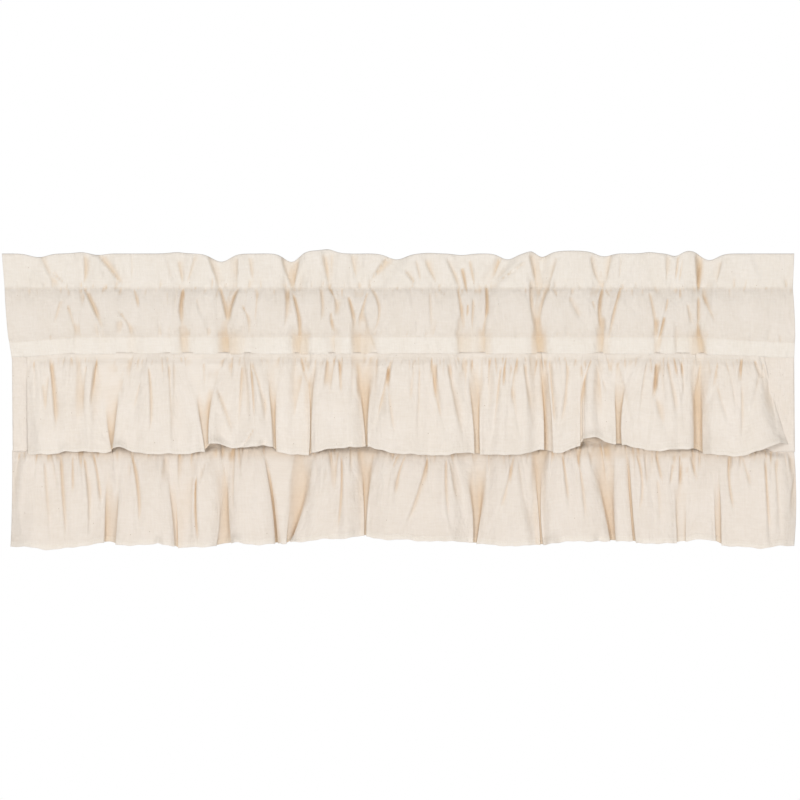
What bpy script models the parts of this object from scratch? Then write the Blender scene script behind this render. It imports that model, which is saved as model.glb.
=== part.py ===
"""Two-tier gathered window valance in unbleached muslin.

The origin is the middle of the top edge. X runs along the rod, the room
is on the -Y side and Z is up. Sizes are in millimetres until a mesh is made.
"""
import math
from collections import namedtuple

import bmesh
import bpy

for old in list(bpy.data.objects):
    bpy.data.objects.remove(old)

MILLIMETRE = 0.001

# One layer of muslin with the fullness of its weave, and the small gap left at each seam.
CLOTH = 1.2
SEAM_GAP = 0.3

# Heights of the sewn lines, measured down from the mean top edge.
POCKET_TOP = 48.0
POCKET_BOTTOM = 115.0
BAND_BOTTOM = 140.0
LOWER_SEAM = 276.0

# What part of a fold's depth shows in the heading, and at the seam that flattens it. The
# deepest and the mean recess are depths of the gathered folds before that.
HEADING_WAVE = 0.7
SEAM_WAVE = 0.1
DEEPEST_RECESS = 12.0
MEAN_RECESS = 4.5

# How far in front of the back panel the upper ruffle is sewn, from middle to middle, and how
# much farther its valleys have left it at the hem.
LAYER_STEP = 2.0
PANEL_CLEARANCE = 3.5

# How far the pocket's two walls stand off the stitched line, front and back, and what part of
# a gathered fold's depth still shows in the front one.
POCKET_FRONT = 10.0
POCKET_BACK = 10.0
POCKET_WAVE = 0.35

# The levels at which the heading is drawn: shares of the header's height, and for the pocket
# pairs of a share of its height and how full it is there. The tunnel stops short of each stitch.
HEADER_LEVELS = (0, 0.5, 1)
POCKET_SHAPE = ((0.17, 0.85), (0.5, 1), (0.83, 0.85))
TUNNEL_INSET = 2.5

# A ruffle springs out below its seam faster than it does farther down. At the seam its cloth
# slopes into each valley over this part of the valley's width, and lower down it turns in steeply.
SWELL = 0.85
FOOT = 0.45

# At its two side edges a ruffle lies this close to the panel, and rises over this width.
SIDE_EDGE_FORWARD = 2.0
SIDE_RISE_WIDTH = 20.0

# The cloth's own colours: the double heading is a little lighter than the single ruffles.
HEADING_COLOUR = (0.86, 0.79, 0.68)
RUFFLE_COLOUR = (0.83, 0.74, 0.61)

# The two side edges, as far from the middle as they hang at each height.
SideEdge = namedtuple("SideEdge", "down left right")
SIDE_EDGES = (
    SideEdge(0, -554, 550),
    SideEdge(50, -550, 548),
    SideEdge(115, -545, 551),
    SideEdge(148, -540, 550),
    SideEdge(277, -539, 551),
    SideEdge(412, -542, 552),
)

# Near each end the pocket's lower stitch droops, over about twice this width.
Sag = namedtuple("Sag", "x width drop")
END_SAGS = (Sag(-545, 60, 7), Sag(550, 95, 8))

# A gathered fold of the heading: where it lies at the top edge, at the pocket's upper stitch
# and at its lower stitch, how wide it is, how far it goes back, and how far it dips the top edge.
Fold = namedtuple("Fold", "top stitch bottom width back dip")
HEADING_FOLDS = (
    Fold(-500, -479, -483, 16, 4, 5),
    Fold(-439, -439, -412, 14, 5, -2),
    Fold(-419, -382, -373, 13, 6, 2),
    Fold(-308, -302, -300, 13, 7, -2),
    Fold(-247, -241, -238, 17, 12, 11),
    Fold(-208, -204, -212, 11, 5, 0),
    Fold(-149, -149, -138, 14, 12, 12),
    Fold(-97, -99, -87, 12, 6, -4),
    Fold(-60, -62, -58, 12, 6, 0),
    Fold(-3, -40, -45, 17, 8, 8),
    Fold(42, 51, 45, 11, 4, -1),
    Fold(87, 92, 92, 14, 8, 2),
    Fold(151, 119, 119, 14, 9, 8),
    Fold(197, 195, 194, 13, 12, 7),
    Fold(284, 281, 284, 14, 8, 5),
    Fold(348, 357, 359, 12, 5, -2),
    Fold(384, 384, 391, 10, 5, 4),
    Fold(431, 420, 416, 15, 11, 9),
)

# One flare of a ruffle. Its visible left and right edges are given at the seam, halfway down and
# at the hem. Forward is how far its front stands out at the hem, a roll is how wide the turn from
# an edge to the front is, a tuck is how far the cloth goes in behind that edge, and floor is how
# far the valley to the right of it stands out. The last three are the hem's depths below the top.
Flare = namedtuple(
    "Flare",
    "left_seam left_half left_hem right_seam right_half right_hem "
    "forward left_roll right_roll left_tuck right_tuck floor hem_left hem_middle hem_right",
)
UPPER_FLARES = (
    Flare(-519, -519, -518, -416, -411, -400, 13, 5, 28, 0, 0, 1, 280, 276, 276),
    Flare(-375, -390, -398, -300, -283, -270, 19, 8, 14, 8, 5, 0, 273, 279, 276),
    Flare(-241, -261, -265, -191, -181, -176, 19, 7, 16, 8, 4, 4, 266, 270, 268),
    Flare(-166, -172, -171, -134, -125, -126, 14, 4, 7, 3, 3, 0, 275, 280, 280),
    Flare(-113, -121, -122, -69, -54, -47, 18, 8, 11, 6, 6, 0, 276, 271, 268),
    Flare(-31, -42, -44, 84, 99, 104, 22, 11, 16, 10, 8, 0, 269, 280, 277),
    Flare(117, 112, 112, 190, 198, 204, 20, 8, 20, 6, 8, 3, 279, 280, 274),
    Flare(209, 208, 208, 250, 251, 251, 16, 11, 5, 4, 4, 6, 277, 274, 268),
    Flare(259, 255, 255, 295, 302, 304, 16, 4, 9, 3, 6, 3, 259, 258, 265),
    Flare(334, 310, 307, 401, 408, 409, 19, 14, 10, 10, 8, 0, 267, 274, 270),
    Flare(425, 422, 422, 508, 522, 541, 17, 8, 8, 8, 0, 0, 279, 280, 266),
)
LOWER_FLARES = (
    Flare(-540, -540, -542, -416, -411, -411, 19, 6, 20, 0, 4, 0, 404, 411, 401),
    Flare(-386, -390, -395, -333, -320, -313, 19, 8, 7, 8, 2, 7, 405, 405, 401),
    Flare(-311, -310, -308, -270, -252, -255, 12, 12, 8, 1, 5, 0, 409, 409, 406),
    Flare(-233, -238, -234, -194, -180, -173, 20, 7, 11, 8, 3, 3, 398, 404, 402),
    Flare(-183, -172, -167, -161, -158, -158, 11, 5, 5, 2, 3, 6, 404, 405, 405),
    Flare(-120, -130, -152, -60, -51, -49, 20, 8, 11, 10, 7, 0, 401, 397, 393),
    Flare(-30, -42, -46, 77, 98, 102, 22, 11, 16, 8, 8, 0, 394, 399, 401),
    Flare(122, 117, 107, 181, 191, 196, 19, 7, 16, 8, 4, 1, 404, 406, 406),
    Flare(206, 197, 200, 258, 279, 293, 19, 8, 14, 5, 4, 1, 400, 400, 401),
    Flare(300, 298, 301, 315, 319, 325, 13, 5, 5, 3, 3, 3, 401, 400, 399),
    Flare(320, 323, 329, 373, 382, 386, 16, 8, 11, 4, 5, 1, 402, 404, 402),
    Flare(404, 401, 398, 433, 437, 440, 14, 12, 7, 0, 3, 3, 400, 398, 399),
    Flare(445, 447, 448, 550, 553, 549, 18, 11, 6, 5, 0, 0, 406, 409, 402),
)

HEADING_COLUMNS = 96
PANEL_COLUMNS = 48
PANEL_ROWS = 3
RUFFLE_ROWS = 7


def bell(distance, width):
    """A smooth bump of height one that fades out over about twice its width."""
    return math.exp(-((distance / width) ** 2))


def in_between(start, middle, end, share):
    """A value on the curve through three others at shares 0, 0.5 and 1."""
    first = 2 * (share - 0.5) * (share - 1)
    second = 4 * share * (1 - share)
    third = 2 * share * (share - 0.5)
    return first * start + second * middle + third * end


def across(share, down):
    """The x at a share of the way from the left side edge to the right one."""
    above = SIDE_EDGES[0]
    for below in SIDE_EDGES[1:]:
        if down <= below.down:
            break
        above = below
    part = min(max((down - above.down) / (below.down - above.down), 0), 1)
    left = above.left + (below.left - above.left) * part
    right = above.right + (below.right - above.right) * part
    return left + (right - left) * share


def fold_x(fold, down):
    """Where a fold of the heading lies at a height."""
    if down < POCKET_TOP:
        return fold.top + (fold.stitch - fold.top) * down / POCKET_TOP
    part = min((down - POCKET_TOP) / (POCKET_BOTTOM - POCKET_TOP), 1)
    return fold.stitch + (fold.bottom - fold.stitch) * part


def recess(x, down):
    """How far the gathered cloth has gone back from its foremost panels."""
    deepest = 0
    for fold in HEADING_FOLDS:
        deepest += fold.back * bell(x - fold_x(fold, down), fold.width)
    return min(deepest, DEEPEST_RECESS)


def panel_y(x, down):
    """The middle of the heading's cloth, which waves about the plane of the seam below it."""
    above_seam = min((BAND_BOTTOM - down) / (BAND_BOTTOM - POCKET_BOTTOM), 1)
    wave = SEAM_WAVE + (HEADING_WAVE - SEAM_WAVE) * max(above_seam, 0)
    return wave * (recess(x, down) - MEAN_RECESS)


def end_sag(x):
    """How much lower the pocket's lower stitch hangs near the two ends."""
    return sum(sag.drop * bell(x - sag.x, sag.width) for sag in END_SAGS)


def band_edge(x):
    """How deep the band's lower edge hangs, which sags less than the stitch above it."""
    return BAND_BOTTOM + 0.6 * end_sag(x)


def top_edge(x):
    """How far the ruffled top edge lies below its mean height."""
    return sum(fold.dip * bell(x - fold.top, fold.width) for fold in HEADING_FOLDS)


def cloth_object(name, vertices, faces, colour):
    """A named object with its own plain woven material."""
    mesh = bpy.data.meshes.new(name)
    mesh.from_pydata([[MILLIMETRE * value for value in point] for point in vertices], [], faces)
    tidy = bmesh.new()
    tidy.from_mesh(mesh)
    bmesh.ops.recalc_face_normals(tidy, faces=tidy.faces)
    tidy.to_mesh(mesh)
    tidy.free()
    mesh.shade_smooth()
    material = bpy.data.materials.new(name + "_muslin")
    material.use_nodes = True
    shader = material.node_tree.nodes["Principled BSDF"]
    shader.inputs["Base Color"].default_value = (*colour, 1)
    shader.inputs["Roughness"].default_value = 0.9
    shader.inputs["Metallic"].default_value = 0
    mesh.materials.append(material)
    cloth = bpy.data.objects.new(name, mesh)
    bpy.context.collection.objects.link(cloth)
    return cloth


def heading_section(share):
    """The outline of the heading at one place along the rod, and of the tunnel inside it.

    The outline goes down the front and up the back. The tunnel's starts at its top and
    goes down the front as well.
    """
    middle_x = across(share, POCKET_TOP)
    lower_stitch = POCKET_BOTTOM + end_sag(middle_x)
    levels = [(top_edge(middle_x) + part * (POCKET_TOP - top_edge(middle_x)), 0) for part in HEADER_LEVELS]
    levels += [(POCKET_TOP + part * (lower_stitch - POCKET_TOP), full) for part, full in POCKET_SHAPE]
    levels += [(lower_stitch, 0), (band_edge(across(share, BAND_BOTTOM)), 0)]
    front, back, tunnel_front, tunnel_back = [], [], [], []
    for down, full in levels:
        x = across(share, down)
        middle = (1 - full) * panel_y(x, down)
        front_y = middle - full * (POCKET_FRONT - POCKET_WAVE * recess(x, down))
        back_y = middle + full * POCKET_BACK
        front.append((x, front_y - CLOTH, -down))
        back.append((x, back_y + CLOTH, -down))
        if full:
            tunnel_front.append((x, front_y, -down))
            tunnel_back.append((x, back_y, -down))
    ends = []
    for down in (POCKET_TOP + TUNNEL_INSET, lower_stitch - TUNNEL_INSET):
        x = across(share, down)
        ends.append((x, panel_y(x, down), -down))
    outline = front + back[::-1]
    tunnel = [ends[0]] + tunnel_front + [ends[1]] + tunnel_back[::-1]
    return outline, tunnel


def build_heading():
    """Header, rod pocket and band: one wide strip folded over and stitched to itself."""
    vertices, faces = [], []
    for column in range(HEADING_COLUMNS + 1):
        outline, tunnel = heading_section(column / HEADING_COLUMNS)
        vertices += outline + tunnel
    around, within = len(outline), len(tunnel)
    ring = around + within
    for column in range(HEADING_COLUMNS):
        here, there = column * ring, (column + 1) * ring
        for start, count in ((0, around), (around, within)):
            for i in range(count):
                a = start + i
                b = start + (i + 1) % count
                faces.append((here + a, here + b, there + b, there + a))

    # Each end shows the cut shape: header and band closed, the tunnel between them open.
    def behind(level):
        return around - 1 - level

    upper_stitch = len(HEADER_LEVELS) - 1
    lower_stitch = upper_stitch + len(POCKET_SHAPE) + 1
    cuts = []
    for level in (*range(upper_stitch), lower_stitch):
        cuts.append((level, level + 1, behind(level + 1), behind(level)))
    for step in range(lower_stitch - upper_stitch):
        level = upper_stitch + step
        cuts.append((level, level + 1, around + step + 1, around + step))
        up, down = around + -step % within, around + (-step - 1) % within
        cuts.append((behind(level), up, down, behind(level + 1)))
    cuts.append((upper_stitch, around, behind(upper_stitch)))
    cuts.append((lower_stitch, behind(lower_stitch), around + lower_stitch - upper_stitch))
    last = HEADING_COLUMNS * ring
    for corners in cuts:
        faces.append(corners)
        faces.append(tuple(last + i for i in corners))
    return cloth_object("heading", vertices, faces, HEADING_COLOUR)


def hung_sheet(name, columns, colour):
    """A single layer of cloth from its middle surface, a list of columns of points."""
    rows = len(columns[0])
    vertices = [point for column in columns for point in column]
    faces = []
    for i in range(len(columns) - 1):
        for j in range(rows - 1):
            a = i * rows + j
            faces.append((a, a + 1, a + rows + 1, a + rows))
    sheet = cloth_object(name, vertices, faces, colour)
    thicken = sheet.modifiers.new("Cloth", "SOLIDIFY")
    thicken.thickness = CLOTH * MILLIMETRE
    thicken.offset = 0
    return sheet


def build_back_panel():
    """The plain panel that the upper ruffle covers, and that carries the lower one."""
    columns = []
    for i in range(PANEL_COLUMNS + 1):
        share = i / PANEL_COLUMNS
        top = band_edge(across(share, BAND_BOTTOM)) + SEAM_GAP
        column = []
        for j in range(PANEL_ROWS + 1):
            down = top + (LOWER_SEAM - top) * j / PANEL_ROWS
            x = across(share, down)
            column.append((x, 0.5 * LAYER_STEP, -down))
        columns.append(column)
    return hung_sheet("back_panel", columns, RUFFLE_COLOUR)


def flare_section(flare, left, right, feet, floor_before, share):
    """The path of the cloth around one flare, seen from above: x, forward and hem depth."""
    rise = flare.forward
    left_side = [
        (left + share * flare.left_tuck - feet[0], floor_before, flare.hem_left + 3),
        (left, 0.5 * (rise + floor_before), flare.hem_left),
        (left + 0.3 * flare.left_roll, 0.85 * rise, flare.hem_left),
        (left + flare.left_roll, rise, 0.7 * flare.hem_left + 0.3 * flare.hem_middle),
    ]
    right_side = [
        (right - flare.right_roll, rise, 0.7 * flare.hem_right + 0.3 * flare.hem_middle),
        (right - 0.3 * flare.right_roll, 0.85 * rise, flare.hem_right),
        (right, 0.5 * (rise + flare.floor), flare.hem_right),
        (right - share * flare.right_tuck + feet[1], flare.floor, flare.hem_right + 3),
    ]
    crown = [(0.5 * (left + right), 1.04 * rise, flare.hem_middle)]
    return left_side, crown, right_side


def ruffle_section(flares, share):
    """The whole path of a ruffle's cloth at a share of the way from the seam to the hem."""
    lefts = [in_between(*flare[0:3], share) for flare in flares]
    rights = [in_between(*flare[3:6], share) for flare in flares]
    feet = [0]
    for left, right in zip(lefts[1:], rights):
        feet.append(FOOT * (1 - share) * (left - right))
    feet.append(0)
    path = []
    floor_before = 0
    for number, (flare, left, right) in enumerate(zip(flares, lefts, rights)):
        beside = feet[number : number + 2]
        left_side, crown, right_side = flare_section(flare, left, right, beside, floor_before, share)
        if number == 0:
            edge = (left, SIDE_EDGE_FORWARD, flare.hem_left)
            left_side = [edge, (left + SIDE_RISE_WIDTH, 0.8 * flare.forward, flare.hem_left)]
        if number == len(flares) - 1:
            edge = (right, SIDE_EDGE_FORWARD, flare.hem_right)
            right_side = [(right - SIDE_RISE_WIDTH, 0.8 * flare.forward, flare.hem_right), edge]
        path += left_side + crown + right_side
        floor_before = flare.floor
    return path


def ruffle_columns(flares, seam_depth, seam_y, clearance):
    """Columns of points from the gathered seam down to the hem."""
    sections = [ruffle_section(flares, j / (RUFFLE_ROWS - 1)) for j in range(RUFFLE_ROWS)]
    columns = []
    for i in range(len(sections[0])):
        column = []
        for j, section in enumerate(sections):
            share = j / (RUFFLE_ROWS - 1)
            x, forward, hem = section[i]
            seam = seam_depth(x)
            y = seam_y - share**SWELL * (forward + clearance)
            column.append((x, y, -(seam + (hem - seam) * share)))
        columns.append(column)
    return columns


def build_upper_ruffle():
    """The first tier: gathered into the seam under the band, in front of the back panel."""

    def seam_depth(x):
        return band_edge(x) + SEAM_GAP

    columns = ruffle_columns(UPPER_FLARES, seam_depth, -0.5 * LAYER_STEP, PANEL_CLEARANCE)
    return hung_sheet("upper_ruffle", columns, RUFFLE_COLOUR)


def build_lower_ruffle():
    """The second tier: gathered onto the lower edge of the back panel."""

    def seam_depth(x):
        return LOWER_SEAM + SEAM_GAP

    columns = ruffle_columns(LOWER_FLARES, seam_depth, 0.5 * LAYER_STEP, 0)
    return hung_sheet("lower_ruffle", columns, RUFFLE_COLOUR)


build_heading()
build_back_panel()
build_upper_ruffle()
build_lower_ruffle()
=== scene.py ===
"""The looks of a two-tier gathered window valance in unbleached muslin."""
import math
from collections import namedtuple

import bmesh
import bpy
import numpy as np
from mathutils import Matrix, Vector


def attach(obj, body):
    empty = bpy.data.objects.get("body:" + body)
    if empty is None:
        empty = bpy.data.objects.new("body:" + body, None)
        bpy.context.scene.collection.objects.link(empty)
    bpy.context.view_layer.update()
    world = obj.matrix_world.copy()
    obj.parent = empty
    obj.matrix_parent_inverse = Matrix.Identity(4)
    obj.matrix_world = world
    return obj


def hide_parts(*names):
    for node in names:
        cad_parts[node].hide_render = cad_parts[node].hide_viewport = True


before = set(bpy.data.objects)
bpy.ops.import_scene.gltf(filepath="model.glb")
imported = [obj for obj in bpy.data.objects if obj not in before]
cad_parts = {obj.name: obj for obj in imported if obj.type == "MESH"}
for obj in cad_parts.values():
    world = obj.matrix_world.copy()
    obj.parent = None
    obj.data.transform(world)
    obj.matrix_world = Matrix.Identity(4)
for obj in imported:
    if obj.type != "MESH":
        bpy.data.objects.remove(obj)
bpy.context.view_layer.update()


# Heading
# One wide strip of muslin, folded over at the top and stitched to itself along two lines. The
# loose fold above them is the header, the tunnel between them takes the rod, and the single
# layer below them is the band that the ruffle is sewn to. Places are in millimetres from the
# middle of the top edge: x to the right, down from the mean top edge, y away from the room.
MILLIMETRE = 0.001
POCKET_TOP = 48.0
POCKET_BOTTOM = 115.0
BAND_BOTTOM = 140.0
POCKET_FRONT = 9.0
POCKET_BACK = 10.0
POCKET_WAVE = 0.35
HEADING_WAVE = 0.7
SEAM_WAVE = 0.6
MEAN_RECESS = 4.5
DEEPEST_RECESS = 12.0
FLAT_WIDTH = 1524.0
GATHERED_SPAN = (-550, 550)
MUSLIN = 0.4
HEADING_CREAM = (0.901, 0.848, 0.782)
# Painted shade: the tan colour multiplied into the cloth where its folds lose light.
PAINTED_FOLD_SHADE_COLOUR = (0.84, 0.68, 0.49, 1)
STEEP_FLANK, SOFT_FLANK, NARROWEST_FLANK, RIDGE = 0.45, 0.95, 1.3, 0.5
SEARCH_COLUMNS = 9
LEAST_LOSS = 0.2
LOSS_GAIN = 1.5
STITCH_PITCH, STITCH_LENGTH, THREAD = 3.2, 2.5, 0.6

SideEdge = namedtuple("SideEdge", "down left right")
SIDE_EDGES = (
    SideEdge(0, -554, 550),
    SideEdge(50, -550, 548),
    SideEdge(115, -545, 551),
    SideEdge(148, -540, 550),
    SideEdge(277, -539, 551),
    SideEdge(412, -542, 552),
)

# Near each end the pocket's lower stitch droops, over about twice this width.
Sag = namedtuple("Sag", "x width drop")
END_SAGS = (Sag(-545, 60, 7), Sag(550, 95, 8))

# A gathered fold: where it lies at the top edge and at the two stitches, how wide it is, how
# far it goes back, and how far it dips the top edge.
Fold = namedtuple("Fold", "top stitch bottom width back dip")
HEADING_FOLDS = (
    Fold(-500, -479, -483, 16, 4, 5),
    Fold(-439, -439, -412, 14, 5, -2),
    Fold(-419, -382, -373, 13, 6, 2),
    Fold(-308, -302, -300, 13, 7, -2),
    Fold(-247, -241, -238, 17, 12, 11),
    Fold(-208, -204, -212, 11, 5, 0),
    Fold(-149, -149, -138, 14, 12, 12),
    Fold(-97, -99, -87, 12, 6, -4),
    Fold(-60, -62, -58, 12, 6, 0),
    Fold(-3, -40, -45, 17, 8, 8),
    Fold(42, 51, 45, 11, 4, -1),
    Fold(87, 92, 92, 14, 8, 2),
    Fold(151, 119, 119, 14, 9, 8),
    Fold(197, 195, 194, 13, 12, 7),
    Fold(284, 281, 284, 14, 8, 5),
    Fold(348, 357, 359, 12, 5, -2),
    Fold(384, 384, 391, 10, 5, 4),
    Fold(431, 420, 416, 15, 11, 9),
)

# Between the folds the ruffled edge stands a little higher in places.
Swell = namedtuple("Swell", "x width rise")
TOP_SWELLS = (Swell(-118, 24, 4), Swell(186, 10, 5), Swell(240, 42, 4), Swell(403, 15, 4))

# A crease pressed into a panel: where it starts and ends, how far it bows to the right halfway,
# how deep it goes, or stands out where that is negative, and the widths of its two flanks.
Crease = namedtuple("Crease", "x down end_x end_down bow depth left right")
HEADER_CREASES = (
    Crease(-500, 1, -479, 47, 0, 2.5, 4, 7),
    Crease(-483, 27, -464, 45, 1, 2, 3, 4),
    Crease(-457, 1, -450, 23, 0, -1.5, 4, 4),
    Crease(-439, 1, -441, 47, 2, 3, 3, 5.5),
    Crease(-419, 1, -382, 48, 0, 4, 4, 7),
    Crease(-373, -1, -373, 48, 0, 1.5, 3, 4),
    Crease(-325, 2, -316, 45, 0, 1.5, 4, 4),
    Crease(-308, 9, -301, 47, 0, 2, 3, 4),
    Crease(-284, 2, -297, 45, 0, 3, 4, 7),
    Crease(-266, 2, -252, 48, 1, 3, 2, 7),
    Crease(-227, 5, -227, 40, 0, 2.5, 7, 2),
    Crease(-209, 5, -204, 41, 0, 2, 3, 4),
    Crease(-163, 3, -149, 48, -1, 3, 2, 7),
    Crease(-142, 9, -148, 48, 0, 4, 5.5, 2),
    Crease(-106, 1, -98, 45, 0, 2.5, 3, 4),
    Crease(-94, -1, -95, 30, 0, 1.5, 3, 3),
    Crease(-66, 2, -60, 38, 0, 2, 3, 4),
    Crease(-17, 6, -41, 38, -1, 4, 3, 8.5),
    Crease(8, 23, 26, 47, 0, 2.5, 3, 4),
    Crease(23, 9, 31, 45, 0, 2, 3, 3),
    Crease(37, 9, 54, 45, -1, 2.5, 3, 4),
    Crease(66, 6, 84, 51, 1, 3, 3, 4),
    Crease(87, 20, 95, 59, 0, 4, 2, 2),
    Crease(98, 9, 106, 51, 0, 2.5, 3, 3),
    Crease(140, 6, 130, 35, 0, 2.5, 4, 3),
    Crease(174, 12, 133, 42, 0, 3.5, 4, 4),
    Crease(183, 1, 191, 45, 0, 4, 2, 3.5),
    Crease(218, 6, 208, 45, 0, 3, 5.5, 2),
    Crease(268, 2, 281, 45, -3, 3, 3, 4),
    Crease(294, 1, 287, 45, 0, 2.5, 4, 3),
    Crease(309, 3, 305, 45, 0, 1.5, 3, 3),
    Crease(373, 2, 372, 45, 0, 2, 3, 3),
    Crease(389, 3, 384, 41, 0, 2.5, 3, 3),
    Crease(395, 5, 389, 45, 0, 2, 2, 2),
    Crease(414, 1, 416, 59, 1, 6, 1.5, 5.5),
    Crease(448, 9, 441, 45, 0, 2.5, 7, 2),
    Crease(494, 3, 504, 38, 0, 1, 5.5, 5.5),
)
POCKET_CREASES = (
    Crease(-472, 65, -483, 108, 0, 2.5, 4, 5.5),
    Crease(-462, 72, -448, 115, 0, 2.5, 4, 4),
    Crease(-439, 49, -412, 108, 1, 5, 3, 5.5),
    Crease(-370, 49, -361, 81, 0, 3, 3, 3.5),
    Crease(-391, 81, -373, 115, 4, 2.5, 3, 4),
    Crease(-302, 49, -300, 108, -4, 4.5, 3, 4),
    Crease(-283, 62, -273, 94, 0, 2, 4, 4),
    Crease(-251, 48, -238, 101, 1, 5, 3, 4),
    Crease(-224, 49, -238, 98, -3, 5, 4, 3),
    Crease(-220, 72, -212, 117, 6, 2.5, 3, 4),
    Crease(-198, 52, -202, 108, 0, 2, 3, 4),
    Crease(-159, 48, -162, 115, 3, 3, 3, 4),
    Crease(-149, 56, -138, 129, 3, 5, 3, 3.5),
    Crease(-111, 48, -112, 108, 4, 3, 3, 4),
    Crease(-99, 47, -92, 92, 7, 3.5, 3, 4),
    Crease(-96, 82, -85, 118, -3, 3.2, 3, 4),
    Crease(-80, 49, -79, 66, 0, 2, 2, 2),
    Crease(-72, 60, -62, 105, 1, 5, 2, 3.5),
    Crease(-45, 54, -58, 105, -1, 3, 3, 4),
    Crease(-43, 44, -46, 122, 16, 3, 3, 5),
    Crease(42, 52, 45, 115, 0, 2, 4, 4),
    Crease(54, 48, 74, 63, -3, 2, 3, 3),
    Crease(81, 49, 90, 108, 0, 4, 3, 4),
    Crease(95, 70, 94, 94, 0, 3, 2, 2),
    Crease(102, 63, 101, 122, 0, 3.2, 2, 3.5),
    Crease(120, 44, 116, 115, 3, 4.6, 2, 3),
    Crease(183, 41, 193, 112, -4, 4.2, 3, 4),
    Crease(209, 44, 195, 101, -4, 3.5, 4, 3),
    Crease(213, 47, 223, 66, 0, 2, 3, 3),
    Crease(237, 59, 265, 105, -3, 3, 7, 8.5),
    Crease(268, 66, 276, 88, 0, 2, 3, 3),
    Crease(283, 48, 284, 111, -6, 5, 3, 4),
    Crease(287, 49, 295, 63, 0, 2, 2, 2),
    Crease(309, 44, 291, 129, -3, 4, 3, 4),
    Crease(348, 55, 359, 111, 0, 3, 3, 4),
    Crease(373, 63, 369, 87, 0, 3, 2, 3),
    Crease(368, 88, 359, 136, 0, 5, 3, 3.5),
    Crease(391, 48, 391, 66, 0, 3, 2, 2),
    Crease(400, 70, 407, 101, 0, 2.5, 3, 4),
    Crease(416, 60, 423, 147, -3, 3.5, 3, 4),
    Crease(422, 56, 445, 108, 0, 3, 4, 4),
)


def bell(distance, width, power=2):
    """A smooth bump of height one, flatter on top and steeper at its sides for a higher power."""
    return np.exp(-(np.abs(distance / width) ** power))


BAND_CREASES = (
    Crease(-451, 98, -451, 152, 0, 1.8, 6, 11),
    Crease(-391, 92, -391, 156, 0, 3.2, 10, 11),
    Crease(-374, 100, -374, 150, 0, 1.2, 6, 6),
    Crease(-320, 100, -321, 150, 0, 1.6, 11, 6),
    Crease(-305, 98, -299, 156, 0, 2.6, 6, 11),
    Crease(-243, 90, -240, 158, 0, 3.4, 11, 8),
    Crease(-217, 98, -216, 152, 0, 2, 8, 10),
    Crease(-141, 98, -142, 150, 0, 1.6, 8, 6),
    Crease(-95, 92, -92, 156, 0, 2.6, 10, 8),
    Crease(-63, 92, -61, 156, 0, 2.4, 8, 8),
    Crease(-50, 84, -26, 150, -3, 2.4, 11, 6),
    Crease(84, 84, 86, 158, -1, 2.8, 6, 13),
    Crease(98, 84, 97, 150, 0, 1.6, 6, 6),
    Crease(117, 84, 117, 160, 0, 3.2, 14, 6),
    Crease(191, 88, 197, 160, 0, 3.2, 8, 8),
    Crease(284, 88, 280, 160, 0, 3, 8, 6),
    Crease(357, 92, 358, 158, 0, 2.6, 6, 6),
    Crease(386, 98, 387, 152, 0, 1.6, 6, 8),
    Crease(403, 98, 404, 152, 0, 1.6, 8, 6),
    Crease(412, 92, 427, 158, 1, 3, 11, 6),
)


def ramp(value, start, end):
    """Goes smoothly from 0 at start to 1 at end."""
    share = np.clip((value - start) / (end - start), 0, 1)
    return share * share * (3 - 2 * share)


def across(share, down):
    """The x at a share of the way from the left side edge to the right one."""
    heights = [edge.down for edge in SIDE_EDGES]
    left = np.interp(down, heights, [edge.left for edge in SIDE_EDGES])
    right = np.interp(down, heights, [edge.right for edge in SIDE_EDGES])
    return left + (right - left) * share


def recess(x, down):
    """How far the gathered cloth has gone back from its foremost panels."""
    deepest = 0
    for fold in HEADING_FOLDS:
        middle = np.interp(down, (0, POCKET_TOP, POCKET_BOTTOM), (fold.top, fold.stitch, fold.bottom))
        deepest = deepest + fold.back * bell(x - middle, fold.width, 3)
    return np.minimum(deepest, DEEPEST_RECESS)


def panel_y(x, down):
    """The middle of the heading's cloth, which waves about the plane of the seam below it."""
    wave = SEAM_WAVE + (HEADING_WAVE - SEAM_WAVE) * ramp(down, BAND_BOTTOM, POCKET_BOTTOM)
    return wave * (recess(x, down) - MEAN_RECESS)


def end_sag(x):
    """How much lower the pocket's lower stitch hangs near the two ends."""
    return sum(sag.drop * bell(x - sag.x, sag.width) for sag in END_SAGS)


def band_edge(x):
    """How deep the band's lower edge hangs, which sags less than the stitch above it."""
    return BAND_BOTTOM + 0.6 * end_sag(x)


def top_edge(x):
    """How far the ruffled top edge lies below its mean height."""
    dips = sum(fold.dip * bell(x - fold.top, fold.width) for fold in HEADING_FOLDS)
    return dips - sum(swell.rise * bell(x - swell.x, swell.width) for swell in TOP_SWELLS)


def creased(x, down, creases, fan=0.0, deeper=1.0, fading=0.45):
    """How far a panel's creases push its cloth back at each place.

    Beside each trough the cloth turns over in a low ridge on its steeper side. A crease gets
    wider towards its lower end where fan is positive, and narrower where it is negative. It
    starts to fade out at the share fading of the way down.
    """
    depth = np.zeros_like(x)
    for crease in creases:
        share = (down - crease.down) / (crease.end_down - crease.down)
        line = crease.x + (crease.end_x - crease.x) * share + crease.bow * 4 * share * (1 - share)
        spread = 1 + fan * (np.clip(share, 0, 1) - 0.5)
        steep = np.maximum(STEEP_FLANK * min(crease.left, crease.right), NARROWEST_FLANK) * spread
        soft = SOFT_FLANK * max(crease.left, crease.right) * spread
        beyond = (x - line) * (1 if crease.left > crease.right else -1)
        trough = bell(beyond, np.where(beyond > 0, steep, soft))
        ridge = bell(beyond - 2.4 * steep, np.where(beyond > 2.4 * steep, 3.2 * steep, 1.3 * steep))
        ends = ramp(share, -0.06, 0.1) * ramp(share, 1.1, fading)
        depth += deeper * crease.depth * ends * (trough - RIDGE * ridge)
    return depth


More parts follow.
